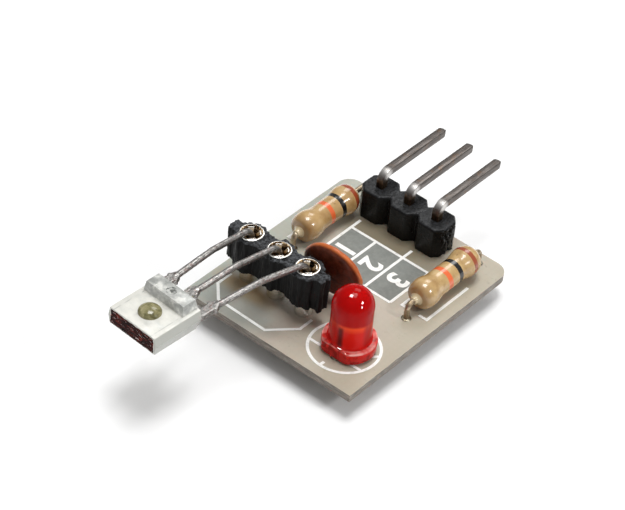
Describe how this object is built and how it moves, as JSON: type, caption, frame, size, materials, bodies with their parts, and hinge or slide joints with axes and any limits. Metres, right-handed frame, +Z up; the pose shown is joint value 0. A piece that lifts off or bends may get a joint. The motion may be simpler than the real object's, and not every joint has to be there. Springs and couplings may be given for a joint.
{
  "type": "laser receiver module",
  "caption": "Small circuit board with a plugged-in clear light receiver on bent leads, a red indicator lamp, a disc capacitor, resistors and a bent pin header.",
  "frame": {"origin": "middle of the whole outline in X and Y, at the height of the clipped lead ends that the module stands on", "axes": "+X across the board from the receiver's outer lead to the lamp, +Y from the receiver over the board to the header pins' tips, +Z up from the board's component side"},
  "size_m": [0.015, 0.0328, 0.0081],
  "materials": {
    "board_laminate": "bare translucent glass-fibre laminate, grey-beige, satin",
    "tinned_copper": "tinned copper under a clear lacquer, satin",
    "solder": "bright solder, glossy",
    "black_moulding": "black moulded thermoplastic, fine grain, satin",
    "pin_plate": "dull tin plate on brass, satin",
    "sleeve_plate": "bright tin plate on turned brass",
    "clip_gold": "gold-flashed spring contact, bright",
    "clear_epoxy": "water-clear moulded epoxy, glossy",
    "lens_epoxy": "clear epoxy dome, glossy",
    "lead_frame": "tinned lead wire, satin",
    "silicon": "silicon chip, glossy",
    "bond_gold": "gold bond wire",
    "red_epoxy": "red tinted moulded epoxy, glossy",
    "lamp_chip": "light-emitting chip",
    "orange_dip": "orange-brown dipped coating, glossy",
    "tan_lacquer": "tan lacquer, glossy, with colour bands",
    "tinned_wire": "tinned copper wire, satin"
  },
  "bodies": {
    "root": {"capacitor_disc": "orange_dip", "capacitor_lead_1": "tinned_wire", "capacitor_lead_2": "tinned_wire", "circuit_board": "board_laminate", "copper_tracks": "tinned_copper", "header_housing": "black_moulding", "header_pin_1": "pin_plate", "header_pin_2": "pin_plate", "header_pin_3": "pin_plate", "lamp_anvil_lead": "tinned_wire", "lamp_bond_wire": "bond_gold", "lamp_chip": "lamp_chip", "lamp_lens": "red_epoxy", "lamp_post_lead": "tinned_wire", "receiver_bond_wires": "bond_gold", "receiver_chip": "silicon", "receiver_lead_1": "lead_frame", "receiver_lead_2": "lead_frame", "receiver_lead_3": "lead_frame", "receiver_lens": "lens_epoxy", "receiver_package": "clear_epoxy", "resistor_body_left": "tan_lacquer", "resistor_body_right": "tan_lacquer", "resistor_lead_left_1": "tinned_wire", "resistor_lead_left_2": "tinned_wire", "resistor_lead_right_1": "tinned_wire", "resistor_lead_right_2": "tinned_wire", "socket_clip_1": "clip_gold", "socket_clip_2": "clip_gold", "socket_clip_3": "clip_gold", "socket_housing": "black_moulding", "socket_sleeve_1": "sleeve_plate", "socket_sleeve_2": "sleeve_plate", "socket_sleeve_3": "sleeve_plate", "solder_capacitor": "solder", "solder_header": "solder", "solder_lamp": "solder", "solder_resistors": "solder", "solder_socket": "solder"}
  },
  "joints": []
}
